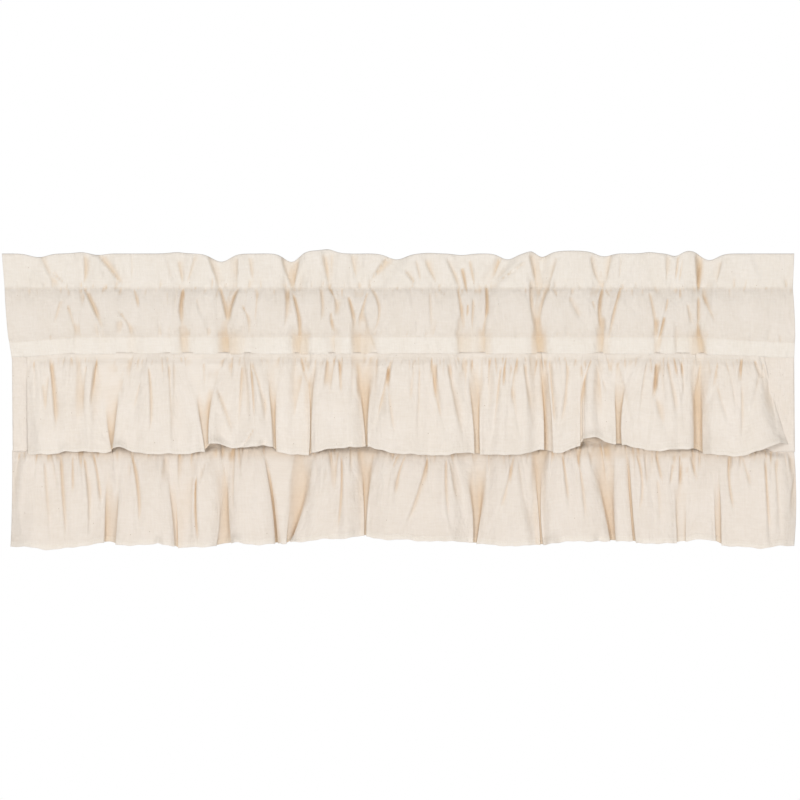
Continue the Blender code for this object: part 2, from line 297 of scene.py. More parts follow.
def gathers(start, end, pitch, reach, depth, seed):
    """Short uneven creases that run down from a gathering stitch at depth 0, as rows of creases."""
    chance = np.random.default_rng(seed)
    rows = []
    place = start
    while place < end:
        place += pitch * chance.uniform(0.5, 1.5)
        long = reach * chance.uniform(0.5, 1.0) * chance.uniform(0.5, 2.0)
        lean = long * chance.uniform(-0.15, 0.15)
        flanks = (chance.uniform(0.14, 0.24) * pitch, chance.uniform(0.24, 0.5) * pitch)
        if chance.random() < 0.5:
            flanks = flanks[::-1]
        back = depth * chance.uniform(0.3, 1.2)
        first = 0.08 * reach * chance.uniform(-1, 1)
        rows.append(Crease(place, first, place + lean, first + long, 0.3 * lean, back, *flanks))
    return rows


def light_lost_in_folds(x, y, reach):
    """How much of the room's light each place loses to the folds on both sides, from 0 to 1.

    Each row of the cloth is searched as far as reach columns for the steepest way up to a
    nearer fold on the left and on the right.
    """
    lost = np.zeros_like(y)
    for direction in (-1, 1):
        steepest = np.zeros_like(y)
        for step in range(1, reach + 1):
            away = np.roll(x, -direction * step, axis=1) - x
            nearer = y - np.roll(y, -direction * step, axis=1)
            slope = np.maximum(nearer - 0.3, 0) / np.maximum(np.abs(away), 0.4)
            ends = slice(-step, None) if direction > 0 else slice(0, step)
            slope[:, ends] = 0
            steepest = np.maximum(steepest, slope)
        lost += 0.5 * np.sin(np.arctan(steepest))
    return np.clip(LOSS_GAIN * (lost - LEAST_LOSS), 0, 1)


def woven_sheet(name, x, y, down, cut_across, cut_down, backing, painted_shade_offset=0.0, reach=SEARCH_COLUMNS):
    """A sheet of muslin whose rows and columns of threads lie at the given places.

    Its place in the flat cut, in metres, becomes its UV map, so the weave follows the cloth.
    How much light each place loses in the folds, which the material paints as shade, and how far the cloth
    is doubled there, become attributes.
    """
    rows, columns = x.shape
    shape = bmesh.new()
    cut = shape.loops.layers.uv.new("cut")
    bmesh.ops.create_grid(shape, x_segments=columns - 1, y_segments=rows - 1, size=1)
    shape.verts.ensure_lookup_table()
    row = [round((1 - vertex.co.y) / 2 * (rows - 1)) for vertex in shape.verts]
    column = [round((1 + vertex.co.x) / 2 * (columns - 1)) for vertex in shape.verts]
    for face in shape.faces:
        for loop in face.loops:
            at = loop.vert.index
            loop[cut].uv = (cut_across[column[at]] * MILLIMETRE, -cut_down[row[at]] * MILLIMETRE)
    for vertex, j, i in zip(shape.verts, row, column):
        vertex.co = (x[j, i] * MILLIMETRE, y[j, i] * MILLIMETRE, -down[j, i] * MILLIMETRE)
    bmesh.ops.reverse_faces(shape, faces=shape.faces)
    mesh = bpy.data.meshes.new(name)
    shape.to_mesh(mesh)
    shape.free()
    mesh.shade_smooth()
    # Painted shade in the folds, plus any extra painted shade or light that the caller gives.
    folded = np.clip(light_lost_in_folds(x, y, reach) + painted_shade_offset, 0, 1)
    doubled = backing * np.ones_like(y)
    mesh.attributes.new("painted_fold_shade", "FLOAT", "POINT").data.foreach_set("value", folded[row, column])
    mesh.attributes.new("doubled", "FLOAT", "POINT").data.foreach_set("value", doubled[row, column])
    sheet = bpy.data.objects.new(name, mesh)
    bpy.context.collection.objects.link(sheet)
    thicken = sheet.modifiers.new("Cloth", "SOLIDIFY")
    thicken.thickness = MUSLIN * MILLIMETRE
    thicken.offset = 0
    return sheet


def sewn_line(x, y, down, depth):
    """The places along a row of sewing that runs at a depth over a sheet's front."""
    middle = [np.interp(at, down[:, i], y[:, i]) for i, at in enumerate(depth)]
    side = [np.interp(at, down[:, i], x[:, i]) for i, at in enumerate(depth)]
    return np.column_stack((side, np.array(middle) - 0.5 * MUSLIN, -depth))


def stitches(name, rows_of_places):
    """Rows of sewn thread: a short rounded stitch at each pitch along every row of places."""
    shape = bmesh.new()
    for places in rows_of_places:
        run = np.concatenate(([0], np.cumsum(np.linalg.norm(np.diff(places, axis=0), axis=1))))
        for start in np.arange(0, run[-1] - STITCH_PITCH, STITCH_PITCH):
            ends = (start, start + STITCH_LENGTH)
            first, second = (Vector([np.interp(end, run, places[:, k]) for k in range(3)]) for end in ends)
            along = (second - first) * MILLIMETRE
            turn = along.to_track_quat("X", "Z").to_matrix().to_4x4()
            half = 0.5 * THREAD * MILLIMETRE
            size = Matrix.Diagonal((0.5 * along.length, half, half, 1))
            place = Matrix.Translation((first + second) * 0.5 * MILLIMETRE) @ turn @ size
            bmesh.ops.create_icosphere(shape, subdivisions=1, radius=1, matrix=place)
    mesh = bpy.data.meshes.new(name)
    shape.to_mesh(mesh)
    shape.free()
    mesh.shade_smooth()
    sewing = bpy.data.objects.new(name, mesh)
    bpy.context.collection.objects.link(sewing)
    sewing.data.materials.append(cotton_thread)
    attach(sewing, "root")
    return sewing


class Value:
    """A number that varies over the cloth, as a node's socket, with ordinary arithmetic."""

    def __init__(self, tree, socket):
        self.tree = tree
        self.socket = socket

    def math(self, operation, first, second=None):
        inputs = {0: first} if second is None else {0: first, 1: second}
        return self.node("ShaderNodeMath", {"operation": operation}, inputs)

    def node(self, kind, settings, inputs, output=0):
        """Any node, with its settings and then the values or links of its sockets."""
        made = self.tree.nodes.new(kind)
        for setting, value in settings.items():
            setattr(made, setting, value)
        for key, value in inputs.items():
            if isinstance(value, Value):
                self.tree.links.new(value.socket, made.inputs[key])
            else:
                made.inputs[key].default_value = value
        return Value(self.tree, made.outputs[output])

    def __add__(self, other):
        return self.math("ADD", self, other)

    def __sub__(self, other):
        return self.math("SUBTRACT", self, other)

    def __rsub__(self, other):
        return self.math("SUBTRACT", other, self)

    def __mul__(self, other):
        return self.math("MULTIPLY", self, other)

    __radd__ = __add__
    __rmul__ = __mul__


def muslin(name, cream):
    """Plain unbleached cotton: a fine even weave with thick threads, seed flecks and soft mottling."""
    material = bpy.data.materials.new(name)
    material.use_nodes = True
    tree = material.node_tree
    shader = tree.nodes["Principled BSDF"]
    shader.inputs["Roughness"].default_value = 0.94
    shader.inputs["Specular IOR Level"].default_value = 0.15
    shader.inputs["Sheen Weight"].default_value = 0.12
    shader.inputs["Sheen Roughness"].default_value = 0.6
    blank = Value(tree, None)
    place = blank.node("ShaderNodeUVMap", {"uv_map": "cut"}, {})

    def noise(across, down, detail=2.0):
        stretched = blank.node("ShaderNodeMapping", {}, {"Vector": place, "Scale": (across, down, 1)})
        inputs = {"Vector": stretched, "Scale": 1.0, "Detail": detail}
        return blank.node("ShaderNodeTexNoise", {"noise_dimensions": "2D"}, inputs)

    # Threads run about 20 to the centimetre, each a little thicker or thinner than the next.
    threads = blank.node("ShaderNodeSeparateXYZ", {}, {"Vector": place})
    turn = 2 * math.pi / 0.0005
    warp = blank.math("SINE", Value(tree, threads.socket) * turn)
    weft = blank.math("SINE", Value(tree, threads.socket.node.outputs[1]) * turn)
    weave = warp * weft
    warp_slubs = noise(420, 55) - 0.5
    weft_slubs = noise(50, 400) - 0.5
    slubs = warp_slubs + weft_slubs
    mottling = noise(22, 18, 6.0) - 0.5
    crumple = noise(80, 60, 4.0)

    # Specks of cotton seed, a millimetre or so wide, in a few of the pattern's cells.
    cells = {"voronoi_dimensions": "2D"}
    spots = blank.node("ShaderNodeTexVoronoi", cells, {"Vector": place, "Scale": 42.0})
    chosen = Value(tree, spots.socket.node.outputs["Color"])
    shade = blank.node("ShaderNodeSeparateColor", {}, {"Color": chosen})
    rare = blank.math("LESS_THAN", shade, 0.1)
    fade = {"Value": spots, "From Min": 0.015, "From Max": 0.035, "To Min": 0.45, "To Max": 0.0}
    near = blank.node("ShaderNodeMapRange", {}, fade)
    fleck = rare * near

    def mix(blend, amount, first, second):
        sockets = {0: amount, 6: first, 7: second}
        return blank.node("ShaderNodeMix", {"data_type": "RGBA", "blend_type": blend}, sockets, 2)

    # Doubled cloth is coloured whiter and single cloth greyer, partly for the cloth's own thickness and
    # partly as painted shade of the space behind a single layer. The folds get a painted tan shade by how
    # much light they lose, standing in for light that grows yellower as it bounces about in them.
    doubled = blank.node("ShaderNodeAttribute", {"attribute_name": "doubled"}, {}, 2)
    painted_fold_shade = blank.node("ShaderNodeAttribute", {"attribute_name": "painted_fold_shade"}, {}, 2)
    single = tuple(part * fade for part, fade in zip(cream, (0.95, 0.935, 0.928)))
    ground = mix("MIX", doubled, (*single, 1), (*cream, 1))
    tone = slubs * 1.0 + mottling * 1.3 + 0.5
    uneven = mix("MULTIPLY", 1.0, ground, mix("MIX", tone, (0.95, 0.935, 0.91, 1), (1, 1, 1, 1)))
    facing = blank.node("ShaderNodeNewGeometry", {}, {}, "True Normal")
    parts = blank.node("ShaderNodeSeparateXYZ", {}, {"Vector": facing}, "Y")
    # Only the side towards the room gets the painted fold shade, because the folds open that way.
    fold_shaded = mix("MULTIPLY", painted_fold_shade * blank.math("LESS_THAN", parts, 0.1), uneven, PAINTED_FOLD_SHADE_COLOUR)
    speckled = mix("MIX", fleck, fold_shaded, (0.30, 0.19, 0.10, 1))
    tree.links.new(speckled.socket, shader.inputs["Base Color"])

    relief = weave * 0.00005 + slubs * 0.00014 + crumple * 0.0017 + noise(32, 24, 3.0) * 0.0034
    bump = blank.node("ShaderNodeBump", {}, {"Strength": 1.0, "Distance": 1.0, "Height": relief})
    tree.links.new(bump.socket, shader.inputs["Normal"])
    return material


def pocket_full(share):
    """How full the pocket is at a share of the way from its upper stitch to its lower one."""
    off_middle = np.abs(2 * np.clip(share, 0, 1) - 1)
    return (1 - off_middle**2.5) ** 0.9


def header_y(x, down):
    """Where both layers of the header lie, with its creases and the gathers above its stitch."""
    small = creased(x, POCKET_TOP - down, gathers(*GATHERED_SPAN, 15, 14, 1.6, 3), 0.8)
    broad = creased(x, POCKET_TOP - down, gathers(*GATHERED_SPAN, 42, 60, 1.2, 20), 0.8)
    return panel_y(x, down) + creased(x, down, HEADER_CREASES, -1.0, 0.9) + small + broad


FRONT_COLUMNS = 840
share_across = np.linspace(0, 1, FRONT_COLUMNS + 1)[None, :]
pocket_stitch_x = across(share_across, POCKET_TOP)
lower_stitch = POCKET_BOTTOM + end_sag(pocket_stitch_x)

# The front goes down from the top edge to the band's lower edge, and a last few rows above it
# are the header's other layer, over the fold and down the back to the stitch.
HEADER_ROWS, POCKET_ROWS, BAND_ROWS, BACK_ROWS = 15, 24, 8, 7
LAYER_GAP = 1.1
HEADER_BACKING, BAND_BACKING = 0.8, 1.0
top = top_edge(pocket_stitch_x)
header_down = top + (POCKET_TOP - top) * np.linspace(0.012, 1, HEADER_ROWS)[:, None]
pocket_share = np.linspace(0, 1, POCKET_ROWS + 1)[1:, None]
pocket_down = POCKET_TOP + (lower_stitch - POCKET_TOP) * pocket_share
band_share = np.linspace(0, 1, BAND_ROWS + 1)[1:, None]
band_down = lower_stitch + (band_edge(across(share_across, BAND_BOTTOM)) - lower_stitch) * band_share
front_down = np.vstack((header_down, pocket_down, band_down))
front_x = across(share_across, front_down)

full = np.zeros_like(front_down)
full[HEADER_ROWS : HEADER_ROWS + POCKET_ROWS] = pocket_full(pocket_share)
front_y = header_y(front_x, front_down)
front_y -= full * (POCKET_FRONT - POCKET_WAVE * (MEAN_RECESS - recess(front_x, front_down)))
pressed = creased(front_x, front_down, POCKET_CREASES, 0.5, 0.8)
pressed += creased(front_x, front_down, BAND_CREASES, 0.3)
pressed += creased(front_x, front_down - POCKET_TOP, gathers(*GATHERED_SPAN, 42, 55, 1.2, 21), 0.6)
pressed += creased(front_x, lower_stitch - front_down, gathers(*GATHERED_SPAN, 46, 45, 1.0, 22), 0.6)
pressed += creased(front_x, front_down - POCKET_TOP, gathers(*GATHERED_SPAN, 19, 40, 1.1, 23), 0.6)
pressed += creased(front_x, lower_stitch - front_down, gathers(*GATHERED_SPAN, 21, 34, 0.9, 24), 0.6)
pressed += creased(front_x, front_down - POCKET_TOP, gathers(*GATHERED_SPAN, 14, 11, 1.6, 4), 0.8)
pressed += creased(front_x, lower_stitch - front_down, gathers(*GATHERED_SPAN, 16, 10, 1.2, 5), 0.8)
# No crease goes deeper than the room behind the cloth.
room = 2.6 + 0.8 * POCKET_FRONT * full
front_y += np.where(pressed > 0, room * np.tanh(pressed / room), pressed)
# Each stitched line pulls the cloth in by a little groove.
front_y += 0.6 * bell(front_down - POCKET_TOP, 1.6) + 0.5 * bell(front_down - lower_stitch, 1.6)

back_share = np.linspace(1, 0.02, BACK_ROWS)[:, None]
back_down = top + (POCKET_TOP - 1 - top) * back_share
back_x = across(share_across, back_down)
back_y = header_y(back_x, back_down) + LAYER_GAP
fold_down = top - 0.3
fold_x = across(share_across, fold_down)
fold_y = header_y(fold_x, fold_down) + 0.5 * LAYER_GAP

heading_x = np.vstack((back_x, fold_x, front_x))
heading_y = np.vstack((back_y, fold_y, front_y))
heading_down = np.vstack((back_down, fold_down, front_down))
middle_column = FRONT_COLUMNS // 2
steps = np.hypot(np.diff(heading_down[:, middle_column]), np.diff(heading_y[:, middle_column]))
cut_down = np.concatenate(([0], np.cumsum(steps)))
cut_across = np.linspace(0, FLAT_WIDTH, FRONT_COLUMNS + 1)
backed = np.where(heading_down < POCKET_TOP, HEADER_BACKING, 0.0)
backed[-BAND_ROWS:] = BAND_BACKING
# Painted shade on the band where the gathers above it draw it back.
band_painted_shade = 0.35 * ramp(recess(heading_x, heading_down), 4, 11) * ramp(heading_down, 98, 122)
heading = woven_sheet(
    "heading_cloth", heading_x, heading_y, heading_down, cut_across, cut_down, backed, band_painted_shade
)

# The pocket's back wall, turned under at the lower stitch.
WALL_COLUMNS, WALL_ROWS = 420, 16
WALL_CUT = 74.0
wall_across = np.linspace(0, 1, WALL_COLUMNS + 1)[None, :]
wall_stitch = POCKET_BOTTOM + end_sag(across(wall_across, POCKET_TOP))
wall_share = np.linspace(0, 1, WALL_ROWS + 1)[:, None]
wall_down = POCKET_TOP - 2 + (wall_stitch + 4 - POCKET_TOP) * wall_share
wall_x = across(wall_across, wall_down)
wall_full = pocket_full((wall_down - POCKET_TOP) / (wall_stitch - POCKET_TOP))
wall_y = (1 - 0.7 * wall_full) * panel_y(wall_x, wall_down) + wall_full * POCKET_BACK + 3.0
wall_y -= creased(wall_x, wall_down - POCKET_TOP, gathers(*GATHERED_SPAN, 14, 16, 1.5, 8), 0.8)
wall_y -= creased(wall_x, wall_stitch - wall_down, gathers(*GATHERED_SPAN, 14, 16, 1.5, 9), 0.8)
wall_cut = np.linspace(0, FLAT_WIDTH, WALL_COLUMNS + 1)
wall_cut_down = WALL_CUT * wall_share[:, 0]
pocket_wall = woven_sheet("pocket_back_wall", wall_x, wall_y, wall_down, wall_cut, wall_cut_down, 0.0)

# Off-white cotton thread, spun with a soft twist.
cotton_thread = bpy.data.materials.new("cotton_thread")
cotton_thread.use_nodes = True
thread_shader = cotton_thread.node_tree.nodes["Principled BSDF"]
thread_shader.inputs["Roughness"].default_value = 0.8
spun = Value(cotton_thread.node_tree, None)
where = spun.node("ShaderNodeTexCoord", {}, {}, 3)
twist = spun.node("ShaderNodeTexNoise", {}, {"Vector": where, "Scale": 900.0})
spun_colours = {0: twist, 6: (0.78, 0.69, 0.56, 1), 7: (0.90, 0.83, 0.72, 1)}
thread_tone = spun.node("ShaderNodeMix", {"data_type": "RGBA"}, spun_colours, 2)
cotton_thread.node_tree.links.new(thread_tone.socket, thread_shader.inputs["Base Color"])

upper_line = sewn_line(front_x, front_y, front_down, np.full(FRONT_COLUMNS + 1, POCKET_TOP))
lower_line = sewn_line(front_x, front_y, front_down, lower_stitch[0])
heading_sewing = stitches("heading_stitches", (upper_line, lower_line))

heading_muslin = muslin("double_muslin", HEADING_CREAM)
for cloth, height in ((heading, cut_down[-1]), (pocket_wall, WALL_CUT)):
    cloth.data.materials.append(heading_muslin)
    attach(cloth, "root")
    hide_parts("heading")


# Back panel
# The plain single layer that hangs from the band behind the upper ruffle. It shows at both
# sides of that ruffle, and its lower edge, drawn up behind it, carries the second ruffle.
LOWER_SEAM = 276.0
PANEL_FLAT = (1400.0, 140.0)
PANEL_BEHIND = 1.7
SIDES_FORWARD = 0.9
PANEL_COLUMNS, PANEL_ROWS = 420, 34
SIDE_HEM = 19.0
RUFFLE_CREAM = (0.912, 0.848, 0.777)


def panel_edge(x):
    """How deep the panel's lower edge hangs: the second ruffle draws it up, most of all under
    the first one's two raised hems."""
    drawn_up = 7 * ramp(np.abs(x), 522, 502) + 8 * bell(x - 290, 75) + 5 * bell(x + 215, 55)
    return LOWER_SEAM - drawn_up


def side_hems(x, down):
    """The narrow double hem down each side edge, a little thicker than the cloth."""
    from_edge = np.minimum(x - across(0, down), across(1, down) - x)
    return 0.5 * ramp(from_edge, SIDE_HEM + 0.8, SIDE_HEM) - 0.5 * bell(from_edge - SIDE_HEM + 1.5, 0.8)


panel_across = np.linspace(0, 1, PANEL_COLUMNS + 1)[None, :]
panel_share = np.linspace(0, 1, PANEL_ROWS + 1)[:, None]
panel_top = band_edge(across(panel_across, BAND_BOTTOM)) - 4
panel_down = panel_top + (panel_edge(across(panel_across, LOWER_SEAM)) - panel_top) * panel_share
panel_x = across(panel_across, panel_down)
# Its two side strips lie a little nearer the band than the part behind the ruffle does.
under_ruffle = ramp(panel_x, -526, -519) * ramp(panel_x, 516, 509)
panel_back = panel_y(panel_x, BAND_BOTTOM) + PANEL_BEHIND - SIDES_FORWARD * (1 - under_ruffle)
panel_back = panel_back - side_hems(panel_x, panel_down)
panel_cut = np.linspace(0, FLAT_WIDTH, PANEL_COLUMNS + 1)
panel_cut_down = PANEL_FLAT[1] * panel_share[:, 0]
# Painted shade on the panel where the upper ruffle hangs in front of it.
painted_shade_behind_ruffle = ramp(panel_x, -518, -510) * ramp(panel_x, 508, 500)
back_panel = woven_sheet(
    "back_panel_cloth", panel_x, panel_back, panel_down, panel_cut, panel_cut_down, 0.2, 0.4 * painted_shade_behind_ruffle
)
ruffle_muslin = muslin("single_muslin", RUFFLE_CREAM)
back_panel.data.materials.append(ruffle_muslin)
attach(back_panel, "root")
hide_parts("back_panel")


# Upper ruffle
# The first tier: a longer strip drawn up on a gathering stitch and sewn on under the band. It
# falls in soft flares with valleys between them, and its edge has a narrow double hem.
RUFFLE_COLUMNS, GATHERED_ROWS, FALLING_ROWS, HEM_ROWS = 1060, 12, 23, 7
VALLEY_STEP = 22
PANEL_CLEARANCE = 3.5
SEAM_STRIP = 8.0
RUFFLE_SPAN = (-545, 545)
RUFFLE_CUT = 140.0
HEM = 6.5
HEM_STITCH = HEM - 1.2

# How quickly the flares swell out below the seam, how far each valley's foot runs out near the
# seam, how much room a narrow valley needs, how much of its depth a valley lacks at the hem and
# at the seam, how much of a tuck is taken, and how far the cloth puffs out under its stitch.
SWELL = 0.75
FOOT = 0.45
NARROW_VALLEY = 3.0
SHALLOW_HEM = 0.38
SHALLOW_SEAM = 0.2
TUCK = 0.35
UPPER_PUFF = 3.0

# One flare: its visible left and right edges at the seam, halfway down and at the hem, how far
# its front stands out at the hem, how wide the turns at its two edges are, how far the cloth
# tucks in behind them, how far the valley to its right stands out, and the hem's depths.
Flare = namedtuple(
    "Flare",
    "left_seam left_half left_hem right_seam right_half right_hem "
    "forward left_roll right_roll left_tuck right_tuck floor hem_left hem_middle hem_right",
)
UPPER_FLARES = (
    Flare(-519, -519, -518, -416, -411, -400, 13, 5, 28, 0, 0, 2, 280, 276, 276),
    Flare(-375, -390, -398, -300, -283, -270, 19, 22, 14, 2, 5, 0, 273, 279, 276),
    Flare(-241, -261, -265, -191, -181, -176, 19, 7, 16, 8, 4, 4, 266, 270, 268),
    Flare(-166, -172, -171, -134, -125, -126, 14, 4, 7, 3, 3, 0, 275, 280, 280),
    Flare(-113, -121, -122, -69, -54, -47, 18, 8, 11, 6, 6, 0, 276, 271, 268),
    Flare(-31, -42, -44, 84, 99, 104, 22, 11, 16, 10, 8, 0, 269, 280, 277),
    Flare(117, 112, 112, 190, 199, 201, 20, 8, 20, 6, 8, 3, 279, 280, 274),
    Flare(205, 211, 213, 250, 251, 251, 16, 11, 9, 4, 1, 12, 277, 274, 268),
    Flare(259, 255, 255, 293, 299, 301, 16, 4, 9, 3, 6, 3, 259, 258, 265),
    Flare(334, 312, 309, 401, 408, 409, 19, 14, 10, 10, 8, 0, 267, 274, 270),
    Flare(425, 422, 422, 508, 522, 541, 17, 8, 8, 8, 0, 0, 279, 280, 266),
)
UPPER_CREASES = (
    Crease(-505, 154, -498, 179, 0, 1, 3, 3),
    Crease(-497, 181, -491, 223, 0, 1.5, 4, 4),
    Crease(-487, 149, -477, 248, 1, 4, 1.5, 7),
    Crease(-450, 127, -454, 276, 6, 3, 11, 11),
    Crease(-422, 149, -429, 213, -1, 4, 2, 2),
    Crease(-401, 149, -409, 187, 0, 2, 3, 3),
    Crease(-361, 180, -370, 220, 0, 1.5, 4, 4),
    Crease(-350, 156, -347, 262, 3, 2.5, 2, 4),
    Crease(-322, 151, -315, 276, 1, 2, 3, 5.5),
    Crease(-273, 151, -270, 193, 0, 2, 4, 4),
    Crease(-255, 187, -226, 262, 0, 2.5, 4, 4),
    Crease(-219, 156, -224, 255, 0, 2, 4, 4),
    Crease(-208, 149, -201, 245, 1, 2.5, 3, 3),
    Crease(-201, 243, -218, 269, 0, 2.5, 3, 3),
    Crease(-205, 154, -184, 248, 4, 2.5, 4, 4),
    Crease(-137, 149, -127, 183, 0, 2, 3, 3),
    Crease(-101, 148, -104, 186, 0, 3, 3, 3),
    Crease(-84, 148, -81, 199, 0, 2, 3, 3),
    Crease(-58, 148, -56, 199, 0, 3, 3.5, 3.5),
    Crease(-12, 148, -33, 243, 0, 2.5, 4, 4),
    Crease(-16, 156, -1, 272, -4, 2.5, 4, 4),
    Crease(19, 149, 15, 213, 0, 2, 4, 4),
    Crease(28, 156, 27, 269, -1, 2, 4, 4),
    Crease(45, 149, 66, 255, -3, 3, 4, 7),
    Crease(67, 152, 92, 265, -1, 3, 4, 7),
    Crease(147, 149, 144, 190, 0, 2.5, 3, 3),
    Crease(141, 156, 130, 262, 0, 2.5, 4, 4),
    Crease(173, 152, 183, 218, 0, 3, 3.5, 3.5),
    Crease(156, 187, 169, 262, 0, 2, 5.5, 5.5),
    Crease(209, 149, 218, 255, 0, 3.5, 4, 4),
    Crease(233, 149, 219, 262, 4, 2.5, 4, 4),
    Crease(266, 149, 254, 213, -3, 2.5, 3, 3),
    Crease(279, 149, 283, 262, -6, 2.5, 9.5, 9.5),
    Crease(283, 177, 288, 195, 0, 1.5, 3, 3),
    Crease(357, 154, 355, 195, 0, 5, 3.5, 3.5),
    Crease(355, 194, 379, 272, 0, 3, 8.5, 8.5),
    Crease(373, 152, 387, 227, 0, 2.5, 4, 4),
    Crease(390, 147, 394, 206, 3, 2.5, 3.5, 3.5),
    Crease(443, 152, 432, 209, 0, 2, 4, 4),
    Crease(440, 181, 459, 241, 0, 2, 5.5, 5.5),
    Crease(475, 149, 476, 276, 1, 2.5, 4, 7),
    Crease(494, 149, 504, 174, 0, 3, 4, 4),
    Crease(500, 170, 484, 245, 0, 2, 5.5, 5.5),
)


def in_between(start, middle, end, share):
    """A value on the curve through three others at shares 0, 0.5 and 1."""
    first = 2 * (share - 0.5) * (share - 1)
    second = 4 * share * (1 - share)
    third = 2 * share * (share - 0.5)
    return first * start + second * middle + third * end


def flare_turns(flares, edge, share):
    """The turning points of the cloth seen from above: x, forward and hem depth."""
    turns = []
    lefts = [in_between(flare.left_seam, flare.left_half, flare.left_hem, share) for flare in flares]
    rights = [in_between(flare.right_seam, flare.right_half, flare.right_hem, share) for flare in flares]
    # Near the seam the cloth slopes gently into each valley, and lower down it turns in steeply.
    feet = [FOOT * (1 - share) * (left - right) for left, right in zip(lefts[1:], rights)] + [0]
    floors = [0]
    for here, there, left, right in zip(flares, flares[1:], lefts[1:], rights):
        # A narrow valley can't be deep, because its two sides would fall together.
        floors.append(max(here.floor, min(here.forward, there.forward) - NARROW_VALLEY - (left - right)))
    floors.append(0)
    # No valley goes all the way back to the panel behind.
    nearest = [0] + [min(here.forward, there.forward) for here, there in zip(flares, flares[1:])] + [0]
    shallow = SHALLOW_SEAM + (SHALLOW_HEM - SHALLOW_SEAM) * share
    floors = [floor + shallow * (out - floor) for floor, out in zip(floors, nearest)]
    for number, (flare, left, right) in enumerate(zip(flares, lefts, rights)):
        out = flare.forward
        left_foot, right_foot = feet[number - 1], feet[number]
        floor, next_floor = floors[number : number + 2]
        left_side = [
            (left + TUCK * share**1.5 * flare.left_tuck - left_foot, floor, flare.hem_left - 1),
            (left, 0.5 * (out + floor), flare.hem_left),
            (left + 0.3 * flare.left_roll, 0.85 * out, flare.hem_left),
            (left + flare.left_roll, out, 0.7 * flare.hem_left + 0.3 * flare.hem_middle),
        ]
        right_side = [
            (right - flare.right_roll, out, 0.7 * flare.hem_right + 0.3 * flare.hem_middle),
            (right - 0.3 * flare.right_roll, 0.85 * out, flare.hem_right),
            (right, 0.5 * (out + next_floor), flare.hem_right),
            (right - TUCK * share**1.5 * flare.right_tuck + right_foot, next_floor, flare.hem_right - 1),
        ]
        if number == 0:
            left_side = [(left, edge, flare.hem_left), (left + 20, 0.8 * out, flare.hem_left)]
        if number == len(flares) - 1:
            right_side = [(right - 20, 0.8 * out, flare.hem_right), (right, edge, flare.hem_right)]
        turns += left_side + [(0.5 * (left + right), 1.04 * out, flare.hem_middle)] + right_side
    return np.array(turns)


def smooth_path(turns, segment, part):
    """Points on the smooth curve through the turning points, a part of the way along a segment."""
    ends = np.vstack((2 * turns[0] - turns[1], turns, 2 * turns[-1] - turns[-2]))
    corners = [ends[segment + k] for k in range(4)]
    chords = [np.linalg.norm(b[:, :2] - a[:, :2], axis=1)[:, None] for a, b in zip(corners, corners[1:])]
    gaps = [np.sqrt(chord) + 0.05 for chord in chords]
    knots = [0, gaps[0], gaps[0] + gaps[1], gaps[0] + gaps[1] + gaps[2]]
    at = knots[1] + part[:, None] * gaps[1]

    def blend(first, second, low, high):
        return (high - at) / (high - low) * first + (at - low) / (high - low) * second

    a, b, c = (blend(corners[k], corners[k + 1], knots[k], knots[k + 1]) for k in range(3))
    return blend(blend(a, b, knots[0], knots[2]), blend(b, c, knots[1], knots[3]), knots[1], knots[2])


# Where the hem's edge has curled forward and up: the middle, the width, how far out and how far up.
Curl = namedtuple("Curl", "x width out up")
UPPER_CURLS = (
    Curl(-466, 6, 4, 2),
    Curl(-389, 10, 7, 4),
    Curl(-252, 10, 8, 4),
    Curl(-190, 6, -6, 3),
    Curl(-70, 5, -5, 2),
    Curl(268, 12, 6, 2),
    Curl(528, 9, 5, 2),
)


